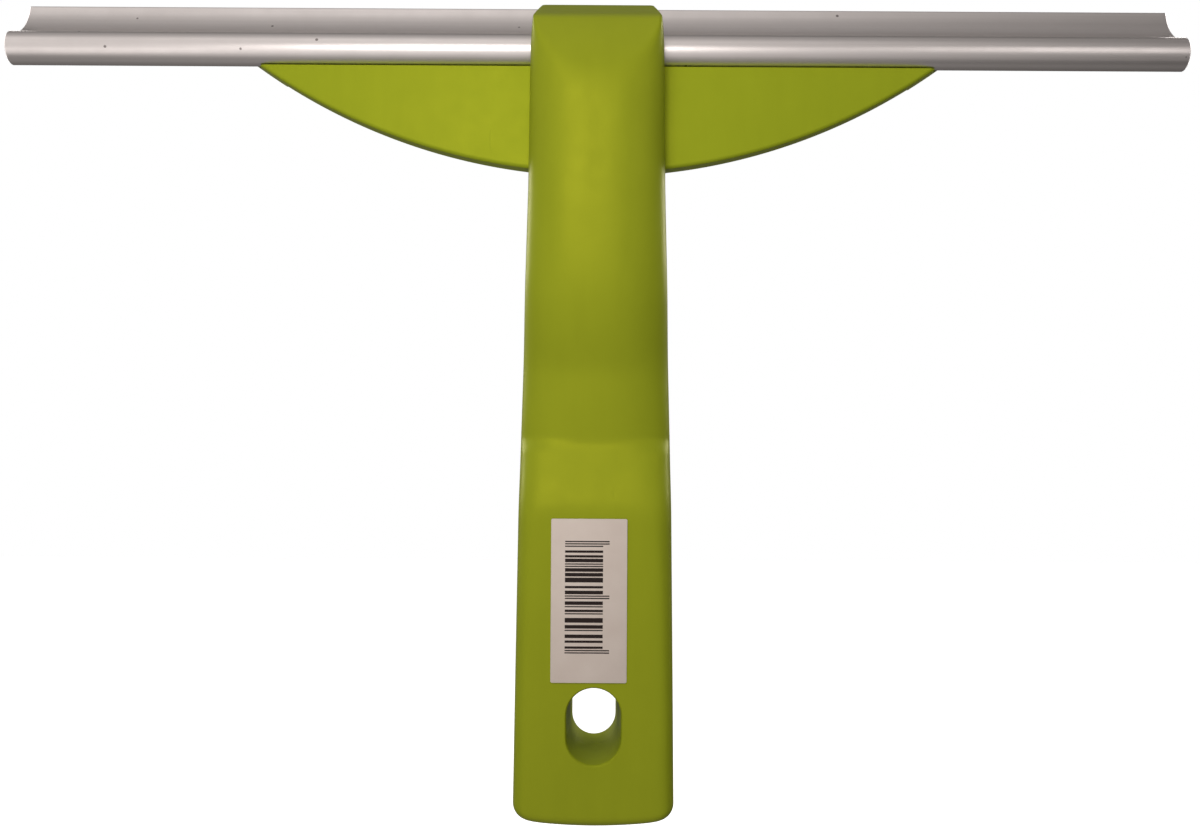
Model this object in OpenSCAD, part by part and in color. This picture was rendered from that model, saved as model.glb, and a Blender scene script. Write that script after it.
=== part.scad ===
// Window cleaning squeegee, head up.
// X runs along the blade, Z runs up the handle to the blade, and the front of the handle faces -Y.
// The origin is inside the grip, where the palm holds it.
// The aluminium channel slides through the hooked head of the front shell. The wing bracket
// cradles its tube from below, and two clamp screws pull rear shell, bracket and front shell together.

/* [Channel and rubber] */
// Length of the aluminium channel, and of the rubber in it
blade_length = 340; // [260:5:450]
// Outer diameter of the channel's tube
tube_d = 9.6; // [9.2:0.1:10]
// Wall thickness of the tube
tube_wall = 1.5; // [1.2:0.1:1.7]
// Width of the slot that lets the rubber's lip out
slot_width = 2.4; // [2.2:0.1:2.8]
// Angle of the slot and lip above the horizontal
lip_angle = 10; // [6:1:14]
// Reach of the rubber from the tube's centre to its wiping edge
lip_reach = 22; // [20:0.5:24]
// Gap between the rubber and the channel all round
rubber_gap = 0.2; // [0.1:0.05:0.3]
// Inner radius of the curved flange that backs the bent lip
flange_radius = 15.3; // [15.2:0.1:15.4]
// Thickness of the flange
flange_thickness = 1.3; // [1:0.1:1.5]

/* [Handle] */
// Distance from the palm point down to the handle's end
grip_drop = 55; // [52:1:70]
// Wall thickness of both shells
wall = 2.6; // [2:0.1:3]
// Depth of the hidden gap where two mouldings meet
seam = 0.1; // [0.05:0.05:0.2]
// Width of the hanging hole at the front
hole_width = 15.3; // [12:0.1:17]
// Height of the hanging hole at the front
hole_height = 21.5; // [18:0.5:24]
// Narrowing of each wall of the hanging hole from front to back
hole_draft = 1.3; // [0.5:0.1:1.5]

/* [Wings] */
// Radius of the wings' curved lower edge
wing_radius = 172; // [166:1:178]
// Thickness of the wings' front skin
wing_skin = 2.6; // [2:0.1:3]
// Thickness of the ribs and rim behind the wings
rib = 2.2; // [1.6:0.1:2.6]

/* [Screws and label] */
// Diameter of the clamp screws' shanks
clamp_screw_d = 3.5; // [3:0.1:4]
// Diameter of the cover screws' shanks
cover_screw_d = 3; // [2.5:0.1:3.4]
// Width of the paper label
label_width = 21.2; // [15:0.1:25]
// Height of the paper label
label_height = 45.7; // [30:0.1:50]
// Thickness of the label
label_thickness = 0.15; // [0.1:0.05:0.3]

/* [Hidden] */
$fn = 64;
eps = 0.01;

// Heights along Z
top_z = 182.9;
tube_z = 165.8;
facet_top_z = 174;
facet_bend_z = 163;
facet_bottom_z = 153;
head_seam_z = 130.1;
neck_z = 125;
neck_bend_z = 92;
waist_top_z = 73;
waist_bottom_z = 53;
grip_top_z = 33.5;
hole_z = -26.7;
clamp_z = 144;
cover_screw_z = [62, 0];
rear_top_z = 163.5;
cradle_low_z = 156.8;
cradle_top_z = 165.2;
label_z = 8.5;

// Half widths along X
waist_half_width = 21.5;
grip_half_width = 22.15;
end_half_width = 22.9;
corner_r = 5;
end_crown = 1.2;

// Depths along Y
face_y = -12.5;
waist_y = -6.2;
cover_post_y = [waist_y, face_y];
waist_top_y = -7.1;
neck_bend_y = -11.8;
facet_bend_y = -10.6;
facet_top_y = -6;
back_y = 12.5;
seam_y = 3.5;
wing_y = 0.5;
bracket_back_y = 7;
cradle_back_y = 9.3;
hook_back_y = 17.8;
tube_y = 2.25;
bracket_gap = 0.15;

// Centre of the flange's curve, and the angles where it starts in the tube wall and ends
curve_y = tube_y - 3.15;
curve_z = tube_z + 19.6;
flange_start = -77;
flange_end = -13;

tube_r = tube_d / 2;
bore_r = tube_r - tube_wall;
bulb_r = bore_r - rubber_gap;
lip_thickness = slot_width - 2 * rubber_gap;
clamp_x = 9.5;
label_x = -1.5;

// Outline sections of the handle: height, half width, front depth, how far the front
// falls back at its sides, and the power of that curve (2 is an arch, 8 is flat with soft edges)
handle_sections = [
    [-grip_drop, end_half_width, face_y, 5, 8],
    [grip_top_z, 21.8, face_y, 6, 4],
    [waist_bottom_z, waist_half_width, waist_y, 5, 2.6],
    [waist_top_z, 21.1, waist_top_y, 5.5, 2.3],
    [neck_bend_z, 20.6, neck_bend_y, 7.5, 2.2],
    [neck_z, 19.6, face_y, 8, 2.2],
    [top_z, 18.9, face_y, 8, 2.2]
];

// Lays a 2D shape drawn in Y and Z along X
module along_x(length) {
    rotate([90, 0, 90]) linear_extrude(length, center = true) children();
}

// Stands a 2D shape drawn in X and Z up between two depths
module along_y(from, to) {
    translate([0, to, 0]) rotate([90, 0, 0]) linear_extrude(to - from) children();
}

function section_points(w, front, drop, power) = concat(
    [for (i = [-14 : 14]) let (t = sin(i * 90 / 14)) [w * t, front + drop * pow(abs(t), power)]],
    [[w, hook_back_y + 1], [-w, hook_back_y + 1]]
);

module handle_slice(s) {
    translate([0, 0, s[0]])
        linear_extrude(eps)
            polygon(section_points(s[1], s[2], s[3], s[4]));
}

// A polygon in X and Z from its right half, listed from the top down, and its lowest points in the middle
module symmetric(half, middle) {
    polygon(concat(half, middle, [for (i = [len(half) - 1 : -1 : 0]) [-half[i].x, half[i].y]]));
}

// The lower right of the handle's outline, from the waist to its rounded corner
function lower_right(inset) = let (
    r = corner_r,
    cx = end_half_width - inset - r,
    cz = -grip_drop + end_crown + inset + r
) concat(
    [[waist_half_width - inset, waist_bottom_z], [grip_half_width - inset, 0]],
    [for (a = [0 : 15 : 75]) [cx + r * cos(a), cz - r * sin(a)]]
);

// Front outline of the handle and head, with the cap's shoulders drawn in
module front_outline() {
    symmetric(
        concat([[16.9, top_z], [18.1, 176.5], [18.9, 168], [19.2, facet_bottom_z], [19.6, neck_z]], lower_right(0)),
        [[0, -grip_drop]]
    );
}

// The whole handle's outer form, front to hook
module handle_form() {
    intersection() {
        for (i = [0 : len(handle_sections) - 2])
            hull() {
                handle_slice(handle_sections[i]);
                handle_slice(handle_sections[i + 1]);
            }
        along_y(face_y - 1, hook_back_y) front_outline();
        along_x(60) polygon([
            [face_y - 1, facet_bottom_z - 5], [facet_bend_y, facet_bend_z], [facet_top_y, facet_top_z],
            [hook_back_y - 4.4, top_z], [hook_back_y, top_z], [hook_back_y, -grip_drop],
            [face_y + 3, -grip_drop], [face_y, -grip_drop + 3], [face_y - 1, -grip_drop + 4]
        ]);
    }
}

// Puts a 2D shape on the tube's centre, in Y and Z
module tube_place() {
    translate([tube_y, tube_z]) children();
}

// The curved flange in Y and Z, grown by `gap` and longer by `stretch` degrees for the slot around its tip
module flange_band(gap = 0, stretch = 0) {
    reach = 40;
    translate([curve_y, curve_z]) intersection() {
        difference() {
            circle(flange_radius + flange_thickness + gap, $fn = 128);
            circle(flange_radius - gap, $fn = 128);
        }
        polygon([[0, 0],
                 [reach * cos(flange_start), reach * sin(flange_start)],
                 [reach, -reach],
                 [reach * cos(flange_end + stretch), reach * sin(flange_end + stretch)]]);
    }
}

module channel_section() {
    difference() {
        union() {
            tube_place() circle(tube_r);
            flange_band();
        }
        tube_place() circle(bore_r);
        tube_place() rotate(lip_angle) translate([0, -slot_width / 2]) square([tube_r + 2, slot_width]);
    }
}

module rubber_section() {
    tube_place() {
        circle(bulb_r);
        rotate(lip_angle) translate([0, -lip_thickness / 2]) square([lip_reach, lip_thickness]);
    }
}

// Where the front shell may have material, in Y and Z
module front_shell_section() {
    difference() {
        union() {
            translate([face_y - 2, -grip_drop - 1]) square([seam_y - face_y + 2, head_seam_z + grip_drop + 1]);
            translate([face_y - 2, -grip_drop]) square([wing_y - seam - face_y + 2, 300]);
            translate([curve_y, curve_z]) circle(flange_radius - bracket_gap, $fn = 128);
            translate([hook_back_y - 4.6, top_z - 3]) square([4.6, 3]);
        }
        tube_place() circle(tube_r + bracket_gap);
        flange_band(bracket_gap, 0.8);
    }
}

// A stadium standing on its end: width, height, in X and Z
module stadium(w, h) {
    for (side = [-1, 1])
        translate([0, side * (h - w) / 2]) circle(w / 2);
    square([w, h - w], center = true);
}

// The hanging hole with its drafted walls
module hang_hole() {
    hull() {
        translate([0, 0, hole_z]) along_y(face_y - 0.5, face_y) stadium(hole_width, hole_height, $fn = 32);
        translate([0, 0, hole_z + hole_draft])
            along_y(back_y, back_y + 0.5)
                stadium(hole_width - 2 * hole_draft, hole_height - 2.6 * hole_draft, $fn = 32);
    }
}

module hole_sleeve() {
    translate([0, 0, hole_z]) along_y(face_y + 1, seam_y) stadium(hole_width + 2 * wall, hole_height + 2 * wall);
}

// A round post or hole along Y between two depths
module rod_y(x, z, r, from, to) {
    translate([x, from, z]) rotate([-90, 0, 0]) cylinder(h = to - from, r = r);
}

module box_between(x, y0, y1, z0, z1) {
    translate([-x, y0, z0]) cube([2 * x, y1 - y0, z1 - z0]);
}

module front_shell() {
    post_r = 3.8;
    screw_end_y = -4;
    color("yellowgreen") difference() {
        union() {
            difference() {
                intersection() {
                    handle_form();
                    along_x(60) front_shell_section();
                }
                box_between(17.4, face_y + wall + 1, seam_y + 1, -grip_drop + 6, grip_top_z);
                box_between(16.4, waist_y + wall, seam_y + 1, grip_top_z - 1, waist_top_z + 8);
                box_between(13.5, waist_y + wall, seam_y + 1, waist_top_z + 7, head_seam_z - 3);
                box_between(13.5, -7, wing_y + 1, head_seam_z - 4, tube_z - 12);
            }
            hole_sleeve();
            for (i = [0, 1])
                rod_y(0, cover_screw_z[i], post_r, cover_post_y[i] + 1, seam_y);
            for (x = [-clamp_x, clamp_x])
                rod_y(x, clamp_z, post_r, -7.5, wing_y - seam);
        }
        hang_hole();
        for (z = cover_screw_z)
            rod_y(0, z, cover_screw_d / 2, screw_end_y - 0.3, seam_y + 1);
        for (x = [-clamp_x, clamp_x])
            rod_y(x, clamp_z, clamp_screw_d / 2, screw_end_y - 0.3, wing_y);
    }
}

// The rear shell's outline in X and Z, drawn in by `inset` and cut between two heights
module rear_outline(inset, z0, z1) {
    intersection() {
        symmetric(
            concat([[14.9 - inset, rear_top_z - inset], [18.9 - inset, rear_top_z - 4 - inset],
                    [19.5 - inset, neck_z]], lower_right(inset)),
            [[0, -grip_drop + inset]]
        );
        translate([-30, z0]) square([60, z1 - z0]);
    }
}

module rear_shell() {
    floor_y = back_y - wall;
    color("olivedrab") difference() {
        union() {
            difference() {
                union() {
                    along_y(seam_y + seam, back_y - 2) rear_outline(0, -100, head_seam_z);
                    along_y(bracket_back_y + seam, back_y - 2) rear_outline(0, head_seam_z - 1, top_z);
                    along_y(back_y - 2 - eps, back_y - 1) rear_outline(0.8, -100, top_z);
                    along_y(back_y - 1 - eps, back_y) rear_outline(2, -100, top_z);
                }
                along_y(seam_y, floor_y) rear_outline(wall, -100, head_seam_z - wall);
                box_between(30, seam_y, cradle_back_y + seam, cradle_low_z - seam, top_z);
            }
            translate([0, 0, hole_z])
                along_y(seam_y + seam, floor_y + 1) stadium(hole_width + wall, hole_height + wall);
            for (z = cover_screw_z)
                rod_y(0, z, 5.4, seam_y + seam, floor_y + 1);
        }
        hang_hole();
        for (z = cover_screw_z) {
            rod_y(0, z, cover_screw_d / 2 + 0.2, 0, back_y);
            rod_y(0, z, 3.2, back_y - 3.5, back_y + 1);
        }
        for (x = [-clamp_x, clamp_x]) {
            rod_y(x, clamp_z, clamp_screw_d / 2 + 0.2, 0, back_y);
            rod_y(x, clamp_z, 3.7, back_y - 3.2, back_y + 1);
        }
    }
}

module wing_bracket() {
    wing_low_z = head_seam_z + 0.2;
    arc_z = wing_low_z + wing_radius;
    rib_x = [30, 46, 62, 78];
    color("greenyellow") difference() {
        intersection() {
            along_y(wing_y, cradle_back_y) intersection() {
                translate([0, arc_z]) circle(wing_radius, $fn = 256);
                translate([-150, 0]) square([300, cradle_top_z]);
            }
            along_x(300) difference() {
                union() {
                    translate([wing_y, 0]) square([bracket_back_y - wing_y, cradle_top_z]);
                    translate([wing_y, cradle_low_z]) square([cradle_back_y - wing_y, cradle_top_z - cradle_low_z]);
                }
                tube_place() circle(tube_r + bracket_gap);
                translate([wing_y - 1, tube_z - 2]) square([tube_y - wing_y + 1, 10]);
            }
        }
        difference() {
            along_y(wing_y + wing_skin, bracket_back_y + 5) intersection() {
                translate([0, arc_z]) circle(wing_radius - rib, $fn = 256);
                translate([-150, 0]) square([300, cradle_low_z]);
            }
            box_between(19.6, wing_y, bracket_back_y, 100, top_z);
            for (x = rib_x, side = [-1, 1])
                translate([side * x - rib / 2, wing_y, 100]) cube([rib, bracket_back_y - wing_y, 80]);
        }
        for (x = [-clamp_x, clamp_x])
            rod_y(x, clamp_z, clamp_screw_d / 2 + 0.2, wing_y - 1, bracket_back_y + 1);
    }
}

module aluminium_channel() {
    color("silver") along_x(blade_length) channel_section();
}

module rubber_blade() {
    color("dimgray") along_x(blade_length) rubber_section();
}

// A pan-head screw driven from the back: x, z, shank radius, head radius, depth of its seat, end
module pan_screw(x, z, shank_r, head_r, seat_y, end_y) {
    head_h = 2;
    difference() {
        union() {
            rod_y(x, z, shank_r, end_y, seat_y + 0.5);
            rod_y(x, z, head_r, seat_y, seat_y + head_h);
        }
        for (a = [0, 90])
            translate([x, seat_y + head_h, z]) rotate([0, a, 0])
                cube([head_r * 1.1, 2.2, 0.8], center = true);
    }
}

module clamp_screws() {
    color("gainsboro") for (x = [-clamp_x, clamp_x])
        pan_screw(x, clamp_z, clamp_screw_d / 2 - 0.05, 3.5, back_y - 3.2, -4);
}

module cover_screws() {
    color("gainsboro") for (z = cover_screw_z)
        pan_screw(0, z, cover_screw_d / 2 - 0.05, 3, back_y - 3.5, -4);
}

module barcode_label() {
    color("linen") translate([label_x - label_width / 2, face_y - label_thickness - eps, label_z - label_height / 2])
        cube([label_width, label_thickness, label_height]);
}

front_shell();
rear_shell();
wing_bracket();
aluminium_channel();
rubber_blade();
clamp_screws();
cover_screws();
barcode_label();
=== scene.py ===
"""Window cleaning squeegee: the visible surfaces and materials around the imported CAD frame.

Shapes are worked out in millimetres in the CAD's frame, with X along the blade, Z up the handle and the front
facing -Y, and turned into metres when each piece is finished.
"""

import math
import random

import bmesh
import bpy
import numpy as np
from mathutils import Matrix, Vector


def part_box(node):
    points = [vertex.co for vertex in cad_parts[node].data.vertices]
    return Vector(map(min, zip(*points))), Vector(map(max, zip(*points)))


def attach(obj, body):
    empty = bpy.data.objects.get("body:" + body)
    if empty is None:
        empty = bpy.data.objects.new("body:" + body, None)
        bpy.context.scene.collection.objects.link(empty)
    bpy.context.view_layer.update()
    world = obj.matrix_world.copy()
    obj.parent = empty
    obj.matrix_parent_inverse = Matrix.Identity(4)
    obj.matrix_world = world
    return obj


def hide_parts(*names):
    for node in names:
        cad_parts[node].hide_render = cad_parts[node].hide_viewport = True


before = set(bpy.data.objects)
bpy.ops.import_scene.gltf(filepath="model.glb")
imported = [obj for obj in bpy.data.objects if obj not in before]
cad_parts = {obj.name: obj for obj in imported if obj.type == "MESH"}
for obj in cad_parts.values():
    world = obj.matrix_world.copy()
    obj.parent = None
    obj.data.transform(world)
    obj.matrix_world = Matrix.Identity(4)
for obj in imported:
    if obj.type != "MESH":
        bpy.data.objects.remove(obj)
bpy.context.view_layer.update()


# ------------------------------------------------------- places read from the frame, in millimetres

def box_mm(node):
    """Lowest and highest corner of a CAD node."""
    low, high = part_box(node)
    return low * 1000, high * 1000


FRONT_LOW, FRONT_HIGH = box_mm("front_shell")
REAR_LOW, REAR_HIGH = box_mm("rear_shell")
WING_LOW, WING_HIGH = box_mm("wing_bracket")
CHANNEL_LOW, CHANNEL_HIGH = box_mm("aluminium_channel")
RUBBER_LOW, RUBBER_HIGH = box_mm("rubber_blade")
LABEL_LOW, LABEL_HIGH = box_mm("barcode_label")

END_Z = FRONT_LOW.z              # the handle's lower end
TOP_Z = FRONT_HIGH.z             # top of the cap
FACE_Y = FRONT_LOW.y             # the grip's front face
HOOK_BACK_Y = FRONT_HIGH.y       # back of the hook over the flange
BACK_Y = REAR_HIGH.y             # the handle's flat back
SEAM_Y = REAR_LOW.y - 0.1        # back edge of the front shell
END_HALF_WIDTH = FRONT_HIGH.x    # half width at the lower end
OUTSIDE = 9                      # how far a cutting shape reaches past the handle

# The channel: a tube of radius TUBE_R and a curved flange about FLANGE_C
TUBE_R = 4.8
BORE_R = 3.3
TUBE_Y = CHANNEL_LOW.y + TUBE_R
TUBE_Z = CHANNEL_LOW.z + TUBE_R
SLOT_HALF = 1.2
LIP_ANGLE = 10                   # the slot and the rubber's lip rise this much to the back, in degrees
FLANGE_C = (TUBE_Y - 3.15, TUBE_Z + 19.6)
FLANGE_INNER_R = 15.3
FLANGE_OUTER_R = 16.6
FLANGE_END = -13                 # the flange's upper end, in degrees about FLANGE_C
FIT = 0.15                       # gap between the channel and the plastic round it


# ---------------------------------------------------------------- mesh tools

def make_object(name, points, faces):
    """An object from points in millimetres."""
    mesh = bpy.data.meshes.new(name)
    mesh.from_pydata([tuple(p) for p in points], [], [tuple(f) for f in faces])
    mesh.validate()
    obj = bpy.data.objects.new(name, mesh)
    bpy.context.scene.collection.objects.link(obj)
    return obj


def bridge(rings, cap="ngon"):
    """Points and faces of a closed solid that passes through rings of equal length.

    cap "strip" closes the ends with quads between each ring's two halves, "ngon" with one face.
    """
    n = len(rings[0])
    points = [p for ring in rings for p in ring]
    faces = []
    for j in range(len(rings) - 1):
        a, b = j * n, (j + 1) * n
        for i in range(n):
            k = (i + 1) % n
            faces.append((a + i, a + k, b + k, b + i))
    for base, turned in ((0, True), ((len(rings) - 1) * n, False)):
        if cap == "ngon":
            ends = [tuple(base + i for i in range(n))]
        else:
            ends = [(base + i, base + i + 1, base + n - 2 - i, base + n - 1 - i) for i in range(n // 2 - 1)]
        faces += [tuple(reversed(f)) for f in ends] if turned else ends
    return points, faces


def solid(name, rings, cap="ngon"):
    obj = make_object(name, *bridge(rings, cap))
    turn_outward(obj)
    return obj


def turn_outward(obj):
    """Makes every face look out of its closed shell."""
    work = bmesh.new()
    work.from_mesh(obj.data)
    bmesh.ops.recalc_face_normals(work, faces=work.faces)
    work.to_mesh(obj.data)
    work.free()


def bake(obj):
    """Turns the object's modifiers into its mesh."""
    graph = bpy.context.evaluated_depsgraph_get()
    mesh = bpy.data.meshes.new_from_object(obj.evaluated_get(graph))
    old = obj.data
    obj.modifiers.clear()
    obj.data = mesh
    bpy.data.meshes.remove(old)


def cut(obj, tool, operation="DIFFERENCE"):
    """Applies one exact boolean and deletes the tool."""
    step = obj.modifiers.new("cut", "BOOLEAN")
    step.operation = operation
    step.object = tool
    step.solver = "EXACT"
    step.use_self = False
    bake(obj)
    bpy.data.objects.remove(tool, do_unlink=True)


def join(name, objects):
    """One object from several, which are deleted."""
    points, faces = [], []
    for obj in objects:
        base = len(points)
        points += [v.co.copy() for v in obj.data.vertices]
        faces += [[base + i for i in p.vertices] for p in obj.data.polygons]
        bpy.data.objects.remove(obj, do_unlink=True)
    return make_object(name, points, faces)


def finish(obj, node, body, material, crease=32):
    """Metres, smooth shading with sharp edges, material, and the node that the piece stands for."""
    mesh = obj.data
    mesh.transform(Matrix.Scale(0.001, 4))
    mesh.shade_smooth()
    mesh.set_sharp_from_angle(angle=math.radians(crease))
    mesh.materials.clear()
    mesh.materials.append(material)
    if node:
        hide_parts(node)
    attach(obj, body)
    return obj


def arc(centre, radius, start, end, count):
    """Points of an arc in a plane, angles in degrees."""
    turn = np.radians(np.linspace(start, end, count))
    return [(centre[0] + radius * math.cos(a), centre[1] + radius * math.sin(a)) for a in turn]


def along_x(name, loop, low, high):
    """A prism along X from a loop in Y and Z."""
    return solid(name, [[(x, y, z) for y, z in loop] for x in (low, high)])


def smooth_max(a, b, radius):
    """The larger of two values, with the corner between them rounded."""
    h = np.clip(0.5 + 0.5 * (a - b) / radius, 0, 1)
    return b + (a - b) * h + radius * h * (1 - h)


def soft_line(z, knots):
    """A line through knots (z, value, softness), each corner rounded by its own softness."""
    value = knots[0][1] + 0 * z
    slope = 0.0
    for (z0, v0, soft), (z1, v1, _) in zip(knots[:-1], knots[1:]):
        new_slope = (v1 - v0) / (z1 - z0)
        value = value + (new_slope - slope) * soft * np.logaddexp(0, (z - z0) / soft)
        slope = new_slope
    z_end, _, soft = knots[-1]
    return value - slope * soft * np.logaddexp(0, (z - z_end) / soft)


def eased(z, knots):
    """Values that ease from knot to knot, flat at each knot."""
    result = np.full_like(z, knots[0][1], dtype=float)
    for (z0, v0), (z1, v1) in zip(knots[:-1], knots[1:]):
        t = np.clip((z - z0) / (z1 - z0), 0, 1)
        result = result + (v1 - v0) * t * t * (3 - 2 * t)
    return result


# ---------------------------------------------------------------- the handle's form

CORNER_R = 5.0        # rounding of the lower corners, seen from the front
END_CROWN = 1.2       # how far the lower end bows down in the middle
FACET_LOW_Z = 151.0   # where the cap's front facet starts to lean back
FACET_TOP_Z = 174.0
FACET_DEPTH = 6.5     # how far it has leaned back there
COLUMNS = 112
COLUMN_T = np.sin(np.linspace(-math.pi / 2, math.pi / 2, COLUMNS + 1))


def row_heights(low, high, spacing, end_rounding):
    """Rows from low to high, closer together near the rounded end."""
    quarter = low + end_rounding * (1 - np.cos(np.linspace(0, math.pi / 2, 14)))
    count = int((high - quarter[-1]) / spacing)
    return np.concatenate([quarter[:-1], np.linspace(quarter[-1], high, count)])


def half_width(z):
    """The handle's half width at each height, with the rounded lower corners."""
    width = np.interp(z, [END_Z, 0, 53, 125, 153, 165, 170, 174, 177, 180, TOP_Z],
                      [END_HALF_WIDTH, 22.15, 21.5, 19.6, 19.2, 19.0, 18.75, 18.4, 18.0, 17.5, 16.9])
    below = np.clip((END_Z + CORNER_R - z) / CORNER_R, 0, 1)
    return width - CORNER_R * (1 - np.sqrt(1 - below ** 2))


def end_bow(t, z):
    """Raises the lower end towards its corners."""
    fade = np.clip((END_Z + 16 - z) / 16, 0, 1)
    return END_CROWN * t ** 2 * fade ** 2 * (3 - 2 * fade)


def crown_line(z):
    """Depth of the front along the middle: grip, ramp, waist, neck."""
    waist_y = FACE_Y + 6.3
    line = soft_line(z, [
        (34.5, FACE_Y, 2.6), (52, waist_y, 0.6), (73, waist_y - 0.9, 1.2),
        (83, FACE_Y + 2.5, 2.8), (92, FACE_Y + 0.7, 3), (108, FACE_Y, 4),
    ])
    end_round = 3.4
    below = np.clip((END_Z + end_round - z) / end_round, 0, 1)
    return line + end_round * (1 - np.sqrt(1 - below ** 2))


def front_rows():
    """The front form's sections, each a half of a rounded shape closed by a straight back."""
    rings = []
    edge_r = 1.3                        # rounding of the cap's side edges
    cap_front_y = HOOK_BACK_Y - 4.4     # front edge of the cap's flat top
    heights = row_heights(END_Z, TOP_Z, 0.6, CORNER_R)
    across = eased(heights, [(-30, 12.0), (0, 10.5), (30, 8.0), (49, 6.5), (54, 2.9), (73, 2.4), (95, 2.25)])
    depth = eased(heights, [(-30, 4.2), (30, 3.2), (49, 2.7), (54, 2.3), (73, 2.15), (95, 2.1)])
    wall_start = FACE_Y + 9.3 + eased(heights, [(30, 0.0), (52, 4.6), (73, 5.0), (100, 0.0),
                                                (140, 0.0), (160, -1.8)])
    widths = half_width(heights)
    crowns = crown_line(heights)
    for z, a, b, base, width, crown in zip(heights, across, depth, wall_start, widths, crowns):
        t = COLUMN_T
        x = width * t
        y = base - (base - crown) * np.clip(1 - np.abs(t) ** a, 0, 1) ** (1 / b)
        # the cap's two flat cuts: a facet that leans back, then a steeper one up to the hook
        edge = np.clip((np.abs(x) - (width - edge_r)) / edge_r, 0, 1)
        edge_drop = edge_r * (1 - np.sqrt(1 - edge ** 2))
        lean = np.clip((z - FACET_LOW_Z) / (FACET_TOP_Z - FACET_LOW_Z), 0, None)
        facet = FACE_Y + FACET_DEPTH * lean ** 1.8 + 0.6 * edge_drop
        rise = (z - FACET_TOP_Z) / (TOP_Z - FACET_TOP_Z)
        upper = FACE_Y + FACET_DEPTH + (cap_front_y - FACE_Y - FACET_DEPTH) * rise + edge_drop
        y = smooth_max(y, smooth_max(facet, upper, 2.0), 0.9)
        lift = end_bow(t, z)
        front = [(px, py, z + pz) for px, py, pz in zip(x, y, lift)]
        back = [(px, HOOK_BACK_Y + 2, z + pz) for px, pz in zip(x, lift)]
        rings.append(front + back[::-1])
    return rings


def lower_angle(radius, across):
    """Angle in degrees of a circle's lower point at a distance across from its centre."""
    return math.degrees(math.atan2(-math.sqrt(radius ** 2 - across ** 2), across))


def front_section():
    """Where the front shell has material, in Y and Z."""
    seat_r = TUBE_R + FIT
    under_r = FLANGE_INNER_R - FIT
    over_r = FLANGE_OUTER_R + FIT
    wing_front_y = WING_LOW.y - 0.1
    seat_start = lower_angle(seat_r, wing_front_y - TUBE_Y)
    gap = math.hypot(TUBE_Y - FLANGE_C[0], TUBE_Z - FLANGE_C[1])
    toward_tube = math.degrees(math.atan2(TUBE_Z - FLANGE_C[1], TUBE_Y - FLANGE_C[0]))
    spread = math.degrees(math.acos((under_r ** 2 + gap ** 2 - seat_r ** 2) / (2 * under_r * gap)))
    under_start = toward_tube + spread
    meet = (FLANGE_C[0] + under_r * math.cos(math.radians(under_start)),
            FLANGE_C[1] + under_r * math.sin(math.radians(under_start)))
    seat_end = math.degrees(math.atan2(meet[1] - TUBE_Z, meet[0] - TUBE_Y))
    slot_end = FLANGE_END + 0.8
    hook_low_z = TOP_Z - 3
    leave = math.degrees(math.asin((hook_low_z - FLANGE_C[1]) / over_r))
    head_seam_z = WING_LOW.z - 0.2
    return (
        [(FACE_Y - OUTSIDE, END_Z - OUTSIDE), (SEAM_Y, END_Z - OUTSIDE), (SEAM_Y, head_seam_z),
         (wing_front_y, head_seam_z)]
        + arc((TUBE_Y, TUBE_Z), seat_r, seat_start + 360, seat_end, 60)
        + arc(FLANGE_C, under_r, under_start, slot_end, 40)[1:]
        + arc(FLANGE_C, over_r, slot_end, leave, 10)
        + [(HOOK_BACK_Y, hook_low_z), (HOOK_BACK_Y, TOP_Z + OUTSIDE), (FACE_Y - OUTSIDE, TOP_Z + OUTSIDE)]
    )


def stadium(half_w, half_h, count=20):
    """A stadium standing on its end, in X and Z."""
    rise = half_h - half_w
    return arc((0, rise), half_w, 0, 180, count) + arc((0, -rise), half_w, 180, 360, count)


HOLE_HALF_W = 7.65
HOLE_HALF_H = 10.75
HOLE_Z = END_Z + 28.3
HOLE_DRAFT = 1.3      # how much narrower each side is at the back
HANDLE_REACH = 60     # half the length of a prism that cuts the handle


def hole_tool():
    """The hanging hole: drafted walls and rounded rims at both ends."""
    front_r, back_r = 1.1, 0.7
    mouth_angle = 8
    mouth_rise = front_r * (1 - math.cos(math.radians(mouth_angle)))
    steps = [(FACE_Y - 2, front_r)]
    for a in np.radians(np.linspace(mouth_angle, 90, 9)):
        steps.append((FACE_Y + front_r * (1 - math.cos(a)) - mouth_rise, front_r * (1 - math.sin(a))))
    steps.append((BACK_Y - back_r, 0.0))
    for a in np.radians(np.linspace(10, 82, 6)):
        steps.append((BACK_Y - back_r * (1 - math.sin(a)), back_r * (1 - math.cos(a))))
    steps.append((BACK_Y + 2, back_r))
    rings = []
    for y, flare in steps:
        inward = np.clip((y - FACE_Y) / (BACK_Y - FACE_Y), 0, 1)
        half_w = HOLE_HALF_W - HOLE_DRAFT * inward + flare
        half_h = HOLE_HALF_H - 1.3 * HOLE_DRAFT * inward + flare
        centre = HOLE_Z + HOLE_DRAFT * inward
        rings.append([(x, y, centre + z) for x, z in stadium(half_w, half_h)])
    return solid("hole_tool", rings)


def build_front_shell():
    shell = solid("front_shell_visual", front_rows(), cap="strip")
    cut(shell, along_x("section", front_section(), -HANDLE_REACH, HANDLE_REACH), "INTERSECT")
    cut(shell, hole_tool())
    return shell


# ---------------------------------------------------------------- rear shell

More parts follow.
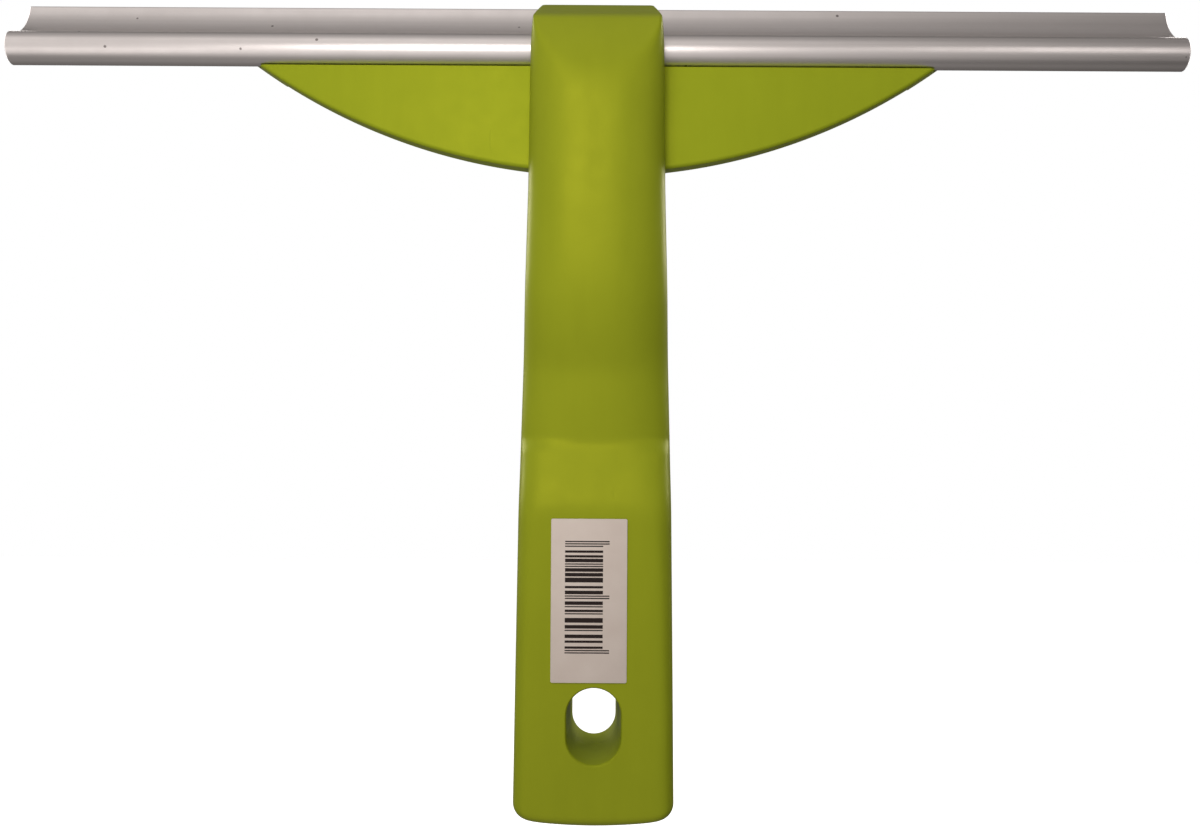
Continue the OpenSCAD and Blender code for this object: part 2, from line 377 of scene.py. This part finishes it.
def rear_rows():
    """The rear form's sections, the mirror image of the front form's: a flat, rounded back."""
    rings = []
    top = REAR_HIGH.z
    top_corner = 4.0
    end_r = 2.2           # rounding of the back's two end edges
    side_power = 15
    heights = row_heights(END_Z, top, 1.2, CORNER_R)
    near_top = top - top_corner * (1 - np.cos(np.linspace(math.pi / 2, 0, 12)))
    heights = np.concatenate([heights[heights < near_top[0] - 0.3], near_top])
    widths = half_width(heights)
    above = np.clip((heights - (top - top_corner)) / top_corner, 0, 1)
    widths = widths - top_corner * (1 - np.sqrt(1 - above ** 2))
    full = BACK_Y - SEAM_Y
    for z, width in zip(heights, widths):
        t = COLUMN_T
        near = max(END_Z + end_r - z, z - (top - end_r), 0) / end_r
        deep = full - end_r * (1 - math.sqrt(max(1 - near ** 2, 0)))
        y = SEAM_Y + deep * np.clip(1 - np.abs(t) ** side_power, 0, 1) ** (1 / 4.0)
        lift = end_bow(t, z)
        back = [(px, py, z + pz) for px, py, pz in zip(width * t, y, lift)]
        front = [(px, SEAM_Y - 2, z + pz) for px, pz in zip(width * t, lift)]
        rings.append(back + front[::-1])
    return rings


def rear_section():
    """Where the rear shell has material, in Y and Z."""
    seam = SEAM_Y + 0.1
    head_seam_z = WING_LOW.z - 0.3
    cradle_z = 156.7
    behind_cradle_y = 9.4
    behind_bracket_y = 7.1
    over_z = REAR_HIGH.z + OUTSIDE
    return [
        (seam, END_Z - OUTSIDE), (BACK_Y + OUTSIDE, END_Z - OUTSIDE), (BACK_Y + OUTSIDE, over_z),
        (behind_cradle_y, over_z), (behind_cradle_y, cradle_z), (behind_bracket_y, cradle_z),
        (behind_bracket_y, head_seam_z), (seam, head_seam_z),
    ]


def lathe(name, profile, centre, count=48):
    """Turns a closed profile of (radius, y) about an axis along Y through centre (x, z)."""
    rings = []
    for radius, y in profile:
        rings.append([(centre[0] + radius * math.cos(a), y, centre[1] + radius * math.sin(a))
                      for a in np.linspace(0, 2 * math.pi, count, endpoint=False)])
    return solid(name, rings)


CLAMP_CENTRES = [(-9.5, 144.0), (9.5, 144.0)]
COVER_CENTRES = [(0.0, 62.0), (0.0, 0.0)]
CLAMP_SEAT_Y = BACK_Y - 3.2
COVER_SEAT_Y = BACK_Y - 3.5
CLAMP_HOLE_R = 1.95
COVER_HOLE_R = 1.7
CLAMP_RECESS_R = 3.7
COVER_RECESS_R = 3.2
SCREW_END_Y = -4


def recess_tool(centre, radius, seat_y, shank_r):
    """A screw's through hole and its counterbore, with a broken edge at the mouth."""
    mouth = 0.45
    return lathe("recess", [
        (shank_r, -30), (shank_r, seat_y), (radius - 0.25, seat_y), (radius, seat_y + 0.25),
        (radius, BACK_Y - mouth), (radius + mouth, BACK_Y), (radius + mouth, BACK_Y + 3),
    ], centre)


def build_rear_shell():
    shell = solid("rear_shell_visual", rear_rows(), cap="strip")
    cut(shell, along_x("section", rear_section(), -HANDLE_REACH, HANDLE_REACH), "INTERSECT")
    cut(shell, hole_tool())
    for centre in CLAMP_CENTRES:
        cut(shell, recess_tool(centre, CLAMP_RECESS_R, CLAMP_SEAT_Y, CLAMP_HOLE_R))
    for centre in COVER_CENTRES:
        cut(shell, recess_tool(centre, COVER_RECESS_R, COVER_SEAT_Y, COVER_HOLE_R))
    return shell


# ---------------------------------------------------------------- wing bracket

WING_R = 172.0
WING_CENTRE_Z = WING_LOW.z + WING_R
WING_SKIN = 2.6
RIB = 2.2
RIB_MIDDLES = [19.6 - RIB / 2, 30, 46, 62, 78, 86.2 + RIB / 2]
CRADLE_LOW_Z = 156.8
BRACKET_BACK_Y = 7.0


def wing_band():
    """The crescent between the wings' curved lower edge and the tube, with rounded edges."""
    inner = 120                      # a radius that ends well above the bracket
    reach = 38                       # half the arc in degrees, past the wings' tips
    front, back = WING_LOW.y, WING_HIGH.y
    soft, back_soft = 1.1, 0.5       # rounding of the lower edge, in front and behind
    profile = [(inner, front)]
    profile += [(WING_R - soft + soft * math.sin(a), front + soft * (1 - math.cos(a)))
                for a in np.radians(np.linspace(0, 90, 9))]
    profile += [(WING_R - back_soft * (1 - math.cos(a)), back - back_soft * (1 - math.sin(a)))
                for a in np.radians(np.linspace(0, 90, 5))]
    profile += [(inner, back)]
    rings = []
    for a in np.radians(np.linspace(-reach, reach, 241)):
        rings.append([(r * math.sin(a), y, WING_CENTRE_Z - r * math.cos(a)) for r, y in profile])
    return solid("wing_bracket_visual", rings)


def wing_section():
    """The bracket's section: skin and rim in front, the cradle under the tube behind."""
    seat_r = TUBE_R + 0.35
    top_z = WING_HIGH.z
    below_z = 100
    front_y, back_y = WING_LOW.y - 1, WING_HIGH.y + 1
    start = lower_angle(seat_r, front_y - TUBE_Y)
    stop = math.degrees(math.asin((top_z - TUBE_Z) / seat_r))
    seat = arc((TUBE_Y, TUBE_Z), seat_r, start, stop, 30)
    return [(front_y, below_z)] + seat + [(back_y, top_z), (back_y, CRADLE_LOW_Z),
                                          (BRACKET_BACK_Y, CRADLE_LOW_Z), (BRACKET_BACK_Y, below_z)]


def pocket_tool(x0, x1):
    """One pocket behind the wing's skin, between two ribs."""
    inner_r = WING_R - RIB
    draft = 0.25
    rings = []
    for x in np.linspace(x0, x1, 13):
        low = WING_CENTRE_Z - math.sqrt(inner_r ** 2 - x * x)
        floor_y = WING_LOW.y + WING_SKIN
        rings.append([(x, floor_y, low + draft), (x, BRACKET_BACK_Y + 4, low),
                      (x, BRACKET_BACK_Y + 4, CRADLE_LOW_Z), (x, floor_y, CRADLE_LOW_Z - draft)])
    return solid("pocket", rings)


def build_wing_bracket():
    bracket = wing_band()
    cut(bracket, along_x("section", wing_section(), -130, 130), "INTERSECT")
    pockets = []
    for x0, x1 in zip(RIB_MIDDLES[:-1], RIB_MIDDLES[1:]):
        for side in (-1, 1):
            ends = sorted((side * (x0 + RIB / 2), side * (x1 - RIB / 2)))
            pockets.append(pocket_tool(*ends))
    cut(bracket, join("pockets", pockets))
    for centre in CLAMP_CENTRES:
        cut(bracket, lathe("bore", [(CLAMP_HOLE_R, -20), (CLAMP_HOLE_R, 20)], centre, 32))
    return bracket


# ---------------------------------------------------------------- channel, rubber, screws, label

def channel_loop():
    """Outline of the extruded profile in Y and Z: tube with its slot, and the curved flange."""
    tube = (TUBE_Y, TUBE_Z)
    gap = math.hypot(tube[0] - FLANGE_C[0], tube[1] - FLANGE_C[1])
    toward_tube = math.degrees(math.atan2(tube[1] - FLANGE_C[1], tube[0] - FLANGE_C[0]))

    def meeting(radius):
        """Angle about the flange's centre, and about the tube's, where a flange face leaves the tube."""
        spread = math.degrees(math.acos((radius ** 2 + gap ** 2 - TUBE_R ** 2) / (2 * radius * gap)))
        angle = toward_tube + spread
        y = FLANGE_C[0] + radius * math.cos(math.radians(angle))
        z = FLANGE_C[1] + radius * math.sin(math.radians(angle))
        return angle, math.degrees(math.atan2(z - tube[1], y - tube[0]))

    inner_start, tube_top = meeting(FLANGE_INNER_R)
    outer_start, tube_back = meeting(FLANGE_OUTER_R)
    outer_slot = math.degrees(math.asin(SLOT_HALF / TUBE_R))
    bore_slot = math.degrees(math.asin(SLOT_HALF / BORE_R))
    half_t = (FLANGE_OUTER_R - FLANGE_INNER_R) / 2
    middle_r = FLANGE_INNER_R + half_t
    tip_end = FLANGE_END - math.degrees(half_t / middle_r)
    tip = (FLANGE_C[0] + middle_r * math.cos(math.radians(tip_end)),
           FLANGE_C[1] + middle_r * math.sin(math.radians(tip_end)))
    return (
        arc(tube, TUBE_R, LIP_ANGLE - outer_slot + 360, tube_top, 120)
        + arc(FLANGE_C, FLANGE_INNER_R, inner_start, tip_end, 70)[1:]
        + arc(tip, half_t, tip_end + 180, tip_end, 12)[1:-1]
        + arc(FLANGE_C, FLANGE_OUTER_R, tip_end, outer_start, 70)
        + arc(tube, TUBE_R, tube_back, LIP_ANGLE + outer_slot, 16)[1:]
        + arc(tube, BORE_R, LIP_ANGLE + bore_slot, LIP_ANGLE - bore_slot + 360, 72)
    )


def shrunk(loop, amount):
    """A loop moved inward along its own normals."""
    p = np.array(loop)
    ahead = np.roll(p, -1, axis=0) - np.roll(p, 1, axis=0)
    normal = np.stack([ahead[:, 1], -ahead[:, 0]], axis=1)
    normal /= np.maximum(np.linalg.norm(normal, axis=1, keepdims=True), 1e-9)
    area = np.sum(p[:, 0] * np.roll(p[:, 1], -1) - np.roll(p[:, 0], -1) * p[:, 1])
    return [tuple(q) for q in p - normal * amount * (1 if area > 0 else -1)]


def bar_along_x(name, loop, low, high, broken_edge):
    """A loop run along X with its end edges broken."""
    rings = []
    stations = ((low, broken_edge), (low + broken_edge, 0), (high - broken_edge, 0), (high, broken_edge))
    for x, inset in stations:
        rings.append([(x, y, z) for y, z in (shrunk(loop, inset) if inset else loop)])
    return solid(name, rings)


def rubber_loop():
    """Bulb and lip in Y and Z, with hollows where the lip leaves the bulb."""
    bulb_r = BORE_R - 0.2
    lip_half = SLOT_HALF - 0.2
    reach = 22.0
    start = math.degrees(math.asin(lip_half / bulb_r))
    bulb = arc((0, 0), bulb_r, start, 360 - start, 72)
    waist_x, waist_half = bulb_r + 1.6, lip_half - 0.22
    lower = [(waist_x - 0.9, -waist_half), (waist_x, -waist_half), (waist_x + 0.9, -lip_half),
             (reach - 0.12, -lip_half), (reach, -lip_half + 0.12)]
    upper = [(x, -z) for x, z in reversed(lower)]
    turn = math.radians(LIP_ANGLE)
    points = bulb + lower + upper
    return [(TUBE_Y + x * math.cos(turn) - z * math.sin(turn),
             TUBE_Z + x * math.sin(turn) + z * math.cos(turn)) for x, z in points]


def build_screw(name, centre, shank_r, head_r, seat_y, end_y):
    """A pan-head screw driven from the back, with a cross recess."""
    head_h = 2.0
    profile = [(0.05, end_y), (shank_r * 0.5, end_y + 0.6)]
    pitch = 1.25
    y = end_y + 1.2
    while y < seat_y - 1.6:
        profile += [(shank_r - 0.32, y), (shank_r, y + pitch * 0.35), (shank_r - 0.32, y + pitch * 0.7)]
        y += pitch
    profile += [(shank_r - 0.1, seat_y - 0.4), (shank_r, seat_y)]
    profile += [(head_r - 0.2, seat_y), (head_r, seat_y + 0.2)]
    rim_h = 0.35
    for a in np.radians(np.linspace(0, 88, 12)):
        dome = (head_h - rim_h) * math.sin(a) ** 1.15
        profile.append((head_r * math.cos(a) ** 0.62, seat_y + rim_h + dome))
    screw = lathe(name, profile, centre, 56)
    for turned in (False, True):
        rings = []
        for depth, half_long, half_thin in ((0.75, 0.95, 0.3), (2.6, head_r * 0.66, 0.46)):
            long_way, thin_way = (half_thin, half_long) if turned else (half_long, half_thin)
            corners = ((-long_way, -thin_way), (long_way, -thin_way),
                       (long_way, thin_way), (-long_way, thin_way))
            rings.append([(centre[0] + cx, seat_y + depth, centre[1] + cz) for cx, cz in corners])
        cut(screw, solid("cross", rings))
    return screw


def build_label():
    """The paper sheet, with rounded corners and a slightly smaller front face. Also gives its front's Y."""
    middle_x = (LABEL_LOW.x + LABEL_HIGH.x) / 2
    middle_z = (LABEL_LOW.z + LABEL_HIGH.z) / 2
    half_w = (LABEL_HIGH.x - LABEL_LOW.x) / 2
    half_h = (LABEL_HIGH.z - LABEL_LOW.z) / 2
    r = 0.45
    taper_x, taper_z = 0.996, 0.998
    outline = []
    for cx, cz, start in ((half_w - r, half_h - r, 0), (-half_w + r, half_h - r, 90),
                          (-half_w + r, -half_h + r, 180), (half_w - r, -half_h + r, 270)):
        outline += arc((middle_x + cx, middle_z + cz), r, start, start + 90, 6)
    front_y = LABEL_LOW.y + 0.03
    rings = [[(x, LABEL_HIGH.y, z) for x, z in outline],
             [(x, front_y + 0.03, z) for x, z in outline],
             [(middle_x + (x - middle_x) * taper_x, front_y, middle_z + (z - middle_z) * taper_z)
              for x, z in outline]]
    return solid("label_visual", rings), front_y


def build_bars(front_y):
    """A made-up bar pattern printed across the label, standing a hair proud of the paper.

    It is 95 modules long, with a pair of long thin bars at each end and in the middle.
    """
    pick = random.Random(11)
    left = LABEL_LOW.x + 3.9
    right = left + 10.6
    guard_right = right + 1.8
    low_z = LABEL_LOW.z + 8.2
    module = 0.33
    guards = (0, 2, 46, 48, 92, 94)
    halves = ((4, 45), (50, 91))
    bars = [(at, 1, guard_right) for at in guards]
    for first, last in halves:
        at = first
        while at < last:
            wide = min(pick.choice((1, 1, 2, 2, 3, 4)), last - at)
            bars.append((at, wide, right))
            at += wide + pick.choice((1, 1, 2, 2, 3))
    pieces = []
    for at, wide, end in bars:
        z0, z1 = low_z + at * module, low_z + (at + wide) * module
        rings = [[(x, y, z) for x, z in ((left, z0), (end, z0), (end, z1), (left, z1))]
                 for y in (front_y + 0.02, front_y - 0.015)]
        pieces.append(solid("bar", rings))
    return join("label_bars", pieces)


# ---------------------------------------------------------------- materials

class Shader:
    """A Principled material with short calls for the nodes used here."""

    def __init__(self, name, **constants):
        self.material = bpy.data.materials.new(name)
        self.material.use_nodes = True
        self.tree = self.material.node_tree
        self.surface = self.tree.nodes["Principled BSDF"]
        for socket, value in constants.items():
            self.surface.inputs[socket.replace("_", " ")].default_value = value
        self.place = self.tree.nodes.new("ShaderNodeTexCoord").outputs["Object"]

    def node(self, kind, **inputs):
        made = self.tree.nodes.new(kind)
        for socket, value in inputs.items():
            self.feed(made.inputs[socket.replace("_", " ")], value)
        return made

    def feed(self, socket, value):
        if isinstance(value, bpy.types.NodeSocket):
            self.tree.links.new(value, socket)
        else:
            socket.default_value = value

    def stretched(self, scale):
        """The place on the object, scaled differently along each axis."""
        made = self.node("ShaderNodeMapping", Vector=self.place, Scale=scale)
        return made.outputs["Vector"]

    def noise(self, size_mm, detail=3, roughness=0.5, place=None, offset=0.0):
        """Noise with features of about size_mm."""
        made = self.tree.nodes.new("ShaderNodeTexNoise")
        made.noise_dimensions = "4D"
        self.feed(made.inputs["Vector"], place or self.place)
        self.feed(made.inputs["W"], offset)
        self.feed(made.inputs["Scale"], 1000.0 / size_mm if place is None else 1.0)
        self.feed(made.inputs["Detail"], detail)
        self.feed(made.inputs["Roughness"], roughness)
        return made.outputs["Fac"]

    def cells(self, size_mm):
        made = self.tree.nodes.new("ShaderNodeTexVoronoi")
        self.feed(made.inputs["Vector"], self.place)
        self.feed(made.inputs["Scale"], 1000.0 / size_mm)
        return made

    def range(self, value, low, high, to_low=0.0, to_high=1.0):
        made = self.tree.nodes.new("ShaderNodeMapRange")
        self.feed(made.inputs["Value"], value)
        limits = (("From Min", low), ("From Max", high), ("To Min", to_low), ("To Max", to_high))
        for socket, number in limits:
            self.feed(made.inputs[socket], number)
        return made.outputs["Result"]

    def math(self, operation, a, b):
        made = self.tree.nodes.new("ShaderNodeMath")
        made.operation = operation
        self.feed(made.inputs[0], a)
        self.feed(made.inputs[1], b)
        return made.outputs[0]

    def mix(self, amount, a, b):
        """One colour blended over another."""
        made = self.tree.nodes.new("ShaderNodeMix")
        made.data_type = "RGBA"
        self.feed(made.inputs["Factor"], amount)
        self.feed(made.inputs[6], a)
        self.feed(made.inputs[7], b)
        return made.outputs[2]

    def bump(self, height, distance_mm, strength=1.0, under=None):
        made = self.node("ShaderNodeBump", Height=height, Distance=distance_mm / 1000.0, Strength=strength)
        if under is not None:
            self.feed(made.inputs["Normal"], under)
        return made.outputs["Normal"]

    def set(self, **inputs):
        """Feeds the surface's sockets and gives the finished material."""
        for socket, value in inputs.items():
            self.feed(self.surface.inputs[socket.replace("_", " ")], value)
        return self.material


def moulded_green(name, base, deep, seed):
    """Satin moulded polypropylene: fine grain, faint mottling and flow, small scuffs."""
    s = Shader(name, IOR=1.49, Specular_Tint=(1.0, 0.97, 0.06, 1.0), Specular_IOR_Level=0.6)
    mottle = s.range(s.noise(14, 4, 0.55, offset=seed), 0.32, 0.68)
    streaks = s.range(s.noise(1, 3, 0.5, s.stretched((260, 260, 40)), seed + 3), 0.35, 0.7)
    specks = s.range(s.noise(0.9, 2, 0.6, offset=seed + 9), 0.70, 0.80)
    colour = s.mix(s.math("MULTIPLY", mottle, 0.55), base, deep)
    colour = s.mix(s.math("MULTIPLY", streaks, 0.12), colour, tuple(c * 1.25 for c in base[:3]) + (1,))
    colour = s.mix(s.math("MULTIPLY", specks, 0.25), colour, (0.42, 0.50, 0.06, 1))
    scuffs = s.range(s.noise(1, 2, 0.7, s.stretched((900, 900, 90)), seed + 5), 0.66, 0.74)
    roughness = s.range(s.noise(6, 4, 0.6, offset=seed + 1), 0.3, 0.7, 0.36, 0.45)
    roughness = s.math("ADD", roughness, s.math("MULTIPLY", scuffs, 0.12))
    grain = s.noise(0.45, 2, 0.5, offset=seed + 2)
    soft = s.noise(5, 2, 0.4, offset=seed + 4)
    normal = s.bump(soft, 0.12, 0.35)
    normal = s.bump(grain, 0.05, 0.30, normal)
    normal = s.bump(scuffs, -0.02, 0.5, normal)
    return s.set(Base_Color=colour, Roughness=roughness, Normal=normal)


def extruded_aluminium():
    """Anodised extrusion: die lines along its length, faint blotches, a few dark specks."""
    s = Shader("extruded_aluminium", Metallic=1.0)
    lines = s.noise(1, 3, 0.6, s.stretched((9, 3800, 3800)), 1.0)
    wide_lines = s.noise(1, 2, 0.5, s.stretched((3, 900, 900)), 2.0)
    blotch = s.range(s.noise(9, 4, 0.6, offset=3.0), 0.35, 0.7)
    colour = s.mix(s.math("MULTIPLY", blotch, 0.35), (0.90, 0.86, 0.845, 1), (0.80, 0.755, 0.74, 1))
    colour = s.mix(s.range(wide_lines, 0.4, 0.65, 0.0, 0.16), colour, (0.72, 0.68, 0.66, 1))
    spots = s.cells(9.0)
    speck = s.range(spots.outputs["Distance"], 0.035, 0.06, 1.0, 0.0)
    colour = s.mix(s.math("MULTIPLY", speck, 0.75), colour, (0.10, 0.08, 0.075, 1))
    roughness = s.range(lines, 0.3, 0.7, 0.31, 0.39)
    roughness = s.math("ADD", roughness, s.math("MULTIPLY", blotch, 0.05))
    normal = s.bump(lines, 0.006, 0.6)
    normal = s.bump(wide_lines, 0.03, 0.35, normal)
    return s.set(Base_Color=colour, Roughness=roughness, Normal=normal)


def blade_rubber():
    """Matt black rubber with moulding lines along it and a little dust."""
    s = Shader("blade_rubber", IOR=1.5, Specular_IOR_Level=0.4)
    dust = s.range(s.noise(2.2, 5, 0.7, offset=5.0), 0.55, 0.8)
    colour = s.mix(s.math("MULTIPLY", dust, 0.35), (0.018, 0.018, 0.020, 1), (0.075, 0.073, 0.070, 1))
    lines = s.noise(1, 3, 0.6, s.stretched((14, 2600, 2600)), 6.0)
    roughness = s.range(s.noise(4, 3, 0.5, offset=7.0), 0.3, 0.7, 0.52, 0.68)
    normal = s.bump(lines, 0.02, 0.5)
    return s.set(Base_Color=colour, Roughness=roughness, Normal=normal)


def screw_steel():
    """Zinc-plated steel with faint blotches and a fine grain."""
    s = Shader("screw_steel", Metallic=1.0)
    blotch = s.range(s.noise(1.4, 4, 0.6, offset=8.0), 0.35, 0.7)
    colour = s.mix(blotch, (0.70, 0.69, 0.66, 1), (0.52, 0.52, 0.50, 1))
    roughness = s.range(s.noise(0.6, 3, 0.6, offset=9.0), 0.3, 0.7, 0.24, 0.42)
    normal = s.bump(s.noise(0.35, 3, 0.6, offset=10.0), 0.02, 0.5)
    return s.set(Base_Color=colour, Roughness=roughness, Normal=normal)


def label_paper():
    """Coated label paper with short fibres and a faint uneven tone."""
    s = Shader("label_paper", IOR=1.45, Specular_IOR_Level=0.35)
    tone = s.range(s.noise(7, 3, 0.5, offset=11.0), 0.3, 0.7)
    colour = s.mix(tone, (0.90, 0.80, 0.715, 1), (0.85, 0.745, 0.66, 1))
    fibre = s.noise(0.35, 4, 0.7, offset=12.0)
    colour = s.mix(s.range(fibre, 0.55, 0.8, 0.0, 0.18), colour, (0.70, 0.61, 0.54, 1))
    roughness = s.range(fibre, 0.3, 0.7, 0.48, 0.62)
    return s.set(Base_Color=colour, Roughness=roughness, Normal=s.bump(fibre, 0.012, 0.6))


def label_ink():
    """Thermal print: dark brown, slightly broken."""
    s = Shader("label_ink", IOR=1.45, Specular_IOR_Level=0.3)
    breaks = s.range(s.noise(0.25, 3, 0.6, offset=13.0), 0.62, 0.8)
    colour = s.mix(s.math("MULTIPLY", breaks, 0.5), (0.022, 0.012, 0.010, 1), (0.16, 0.12, 0.10, 1))
    roughness = s.range(breaks, 0, 1, 0.5, 0.65)
    return s.set(Base_Color=colour, Roughness=roughness, Normal=s.bump(breaks, 0.004, 0.5))


# ---------------------------------------------------------------- stage, light and camera

# The room's brightness by elevation in degrees: 0 in front, 90 overhead, 180 behind
ROOM = [(-180, 0.12), (-130, 0.16), (-100, 0.26), (-75, 0.22), (-50, 0.62), (-28, 0.74),
        (-8, 0.76), (12, 0.68), (34, 0.58), (56, 0.95), (78, 0.38), (100, 0.34),
        (118, 0.16), (135, 0.10), (165, 0.10), (180, 0.12)]
ROOM_LEFT = 0.15                 # how far left of the middle the bright part of the room lies
ROOM_SIDES = 0.03                # brightness that is left at the sides
WARM = (1.10, 1.04, 1.01)

# Each light's name, place, what it points at, side and power
LIGHTS = [
    ("window", (-0.03, -0.272, 0.187), (0, 0, 0.08), 0.10, 0.14),
    ("window_left", (-0.077, -0.213, 0.166), (0, 0, 0.06), 0.10, 0.052),
    ("left", (-0.23, -0.193, 0.06), (0, 0, 0.06), 0.15, 0.034),
    ("far_left", (-0.312, -0.262, 0.250), (0, 0, 0.06), 0.20, 0.03),
    ("high_left", (-0.375, -0.165, 0.345), (0, 0, 0.06), 0.25, 0.04),
    ("window_right", (0.23, -0.25, 0.22), (0.11, 0, 0.13), 0.14, 0.055),
    ("back_right", (0.50, 0.34, 0.32), (0, 0, 0.06), 0.35, 1.5),
    ("back_left", (-0.50, 0.32, 0.30), (0, 0, 0.06), 0.35, 1.4),
]


def build_world():
    """Plain white to the eye. For light and reflections, a room that is brightest in front of the tool."""
    world = bpy.data.worlds.new("studio")
    bpy.context.scene.world = world
    world.use_nodes = True
    tree = world.node_tree
    tree.nodes.clear()
    new = tree.nodes.new
    link = tree.links.new

    def math_node(operation, *values):
        made = new("ShaderNodeMath")
        made.operation = operation
        for socket, value in zip(made.inputs, values):
            if isinstance(value, bpy.types.NodeSocket):
                link(value, socket)
            else:
                socket.default_value = value
        return made.outputs[0]

    axes = new("ShaderNodeSeparateXYZ")
    link(new("ShaderNodeTexCoord").outputs["Generated"], axes.inputs[0])
    x, y, z = axes.outputs
    elevation = math_node("ARCTAN2", z, math_node("MULTIPLY", y, -1.0))
    turn = math_node("MULTIPLY_ADD", elevation, 0.5 / math.pi, 0.5)
    ramp = new("ShaderNodeValToRGB")
    link(turn, ramp.inputs[0])
    stops = ramp.color_ramp.elements
    while len(stops) < len(ROOM):
        stops.new(0.5)
    for stop, (angle, value) in zip(stops, ROOM):
        stop.position = angle / 360 + 0.5
        stop.color = tuple(value * c for c in WARM) + (1,)
    # the sides of the room are darker, above all in front of the tool
    spread = new("ShaderNodeMapRange")
    link(y, spread.inputs["Value"])
    limits = (("From Min", -0.3), ("From Max", 0.3), ("To Min", 0.18), ("To Max", 0.7))
    for socket, value in limits:
        spread.inputs[socket].default_value = value
    aside = math_node("ADD", x, ROOM_LEFT)
    away = math_node("DIVIDE", math_node("MULTIPLY", aside, aside), spread.outputs["Result"])
    falloff = math_node("POWER", math.e, math_node("MULTIPLY", away, -1.0))
    strength = math_node("ADD", falloff, ROOM_SIDES)
    lit = new("ShaderNodeBackground")
    link(ramp.outputs["Color"], lit.inputs["Color"])
    link(strength, lit.inputs["Strength"])
    seen = new("ShaderNodeBackground")
    seen.inputs["Color"].default_value = (1, 1, 1, 1)
    path = new("ShaderNodeLightPath")
    choose = new("ShaderNodeMixShader")
    link(path.outputs["Is Camera Ray"], choose.inputs["Fac"])
    link(lit.outputs["Background"], choose.inputs[1])
    link(seen.outputs["Background"], choose.inputs[2])
    link(choose.outputs["Shader"], new("ShaderNodeOutputWorld").inputs["Surface"])


def add_area_light(name, place, aim, side, power):
    """A square light that shines on the tool but isn't seen by the camera."""
    data = bpy.data.lights.new(name, "AREA")
    data.shape = "RECTANGLE"
    data.size = side
    data.size_y = side
    data.energy = power
    data.color = WARM
    light = bpy.data.objects.new(name, data)
    light.visible_camera = False
    bpy.context.scene.collection.objects.link(light)
    light.location = place
    light.rotation_euler = (Vector(aim) - Vector(place)).to_track_quat("-Z", "Y").to_euler()


def build_stage():
    """A pale floor a little below the tool, which is held up by its grip."""
    half = 1.6
    floor_z = END_Z / 1000 - 0.11
    corners = [(-half, -half, floor_z), (half, -half, floor_z), (half, half, floor_z), (-half, half, floor_z)]
    mesh = bpy.data.meshes.new("floor")
    mesh.from_pydata(corners, [], [(0, 1, 2, 3)])
    floor = bpy.data.objects.new("floor", mesh)
    bpy.context.scene.collection.objects.link(floor)
    paint = Shader("floor_paint", Specular_IOR_Level=0.0, Emission_Strength=0.85)
    tone = paint.range(paint.noise(90, 3, 0.5), 0.3, 0.7)
    white = paint.mix(tone, (0.95, 0.95, 0.95, 1), (0.92, 0.92, 0.92, 1))
    mesh.materials.append(paint.set(Base_Color=white, Emission_Color=white, Roughness=0.9))
    floor.visible_glossy = False
    floor.visible_diffuse = False


def build_camera():
    """In front of the tool, level with the neck, and tipped a third of a degree."""
    data = bpy.data.cameras.new("camera")
    data.sensor_width = 36
    data.sensor_fit = "HORIZONTAL"
    data.lens = 37.71
    data.clip_start = 0.01
    camera = bpy.data.objects.new("camera", data)
    bpy.context.scene.collection.objects.link(camera)
    camera.location = (0.0013, -0.3625, 0.060)
    camera.rotation_euler = (math.radians(90), math.radians(-0.33), 0)
    bpy.context.scene.camera = camera


# ---------------------------------------------------------------- the object

bpy.context.scene.view_settings.view_transform = "Standard"
build_camera()
build_world()
build_stage()
for light in LIGHTS:
    add_area_light(*light)

handle_green = moulded_green("handle_plastic", base=(0.352, 0.420, 0.021, 1),
                             deep=(0.325, 0.390, 0.019, 1), seed=0.0)
# the wings are the handle's plastic with a lighter base colour: painted light on the wings
wing_green_painted_lighter = moulded_green("wing_plastic", base=(0.362, 0.450, 0.021, 1),
                           deep=(0.334, 0.420, 0.019, 1), seed=20.0)
aluminium = extruded_aluminium()
rubber = blade_rubber()
steel = screw_steel()
paper = label_paper()
ink = label_ink()

finish(build_front_shell(), "front_shell", "handle", handle_green)
finish(build_rear_shell(), "rear_shell", "handle", handle_green)
finish(build_wing_bracket(), "wing_bracket", "handle", wing_green_painted_lighter)
finish(bar_along_x("channel_visual", channel_loop(), CHANNEL_LOW.x, CHANNEL_HIGH.x, 0.15),
       "aluminium_channel", "handle", aluminium, crease=15)
finish(bar_along_x("rubber_visual", rubber_loop(), RUBBER_LOW.x, RUBBER_HIGH.x, 0.1),
       "rubber_blade", "blade", rubber)

clamp = [build_screw(f"clamp_screw_{i}", centre, 1.7, 3.5, CLAMP_SEAT_Y, SCREW_END_Y)
         for i, centre in enumerate(CLAMP_CENTRES)]
cover = [build_screw(f"cover_screw_{i}", centre, 1.45, 3.0, COVER_SEAT_Y, SCREW_END_Y)
         for i, centre in enumerate(COVER_CENTRES)]
finish(join("clamp_screws_visual", clamp), "clamp_screws", "handle", steel, crease=38)
finish(join("cover_screws_visual", cover), "cover_screws", "handle", steel, crease=38)

label, label_front_y = build_label()
finish(label, "barcode_label", "handle", paper)
finish(build_bars(label_front_y), None, "handle", ink)
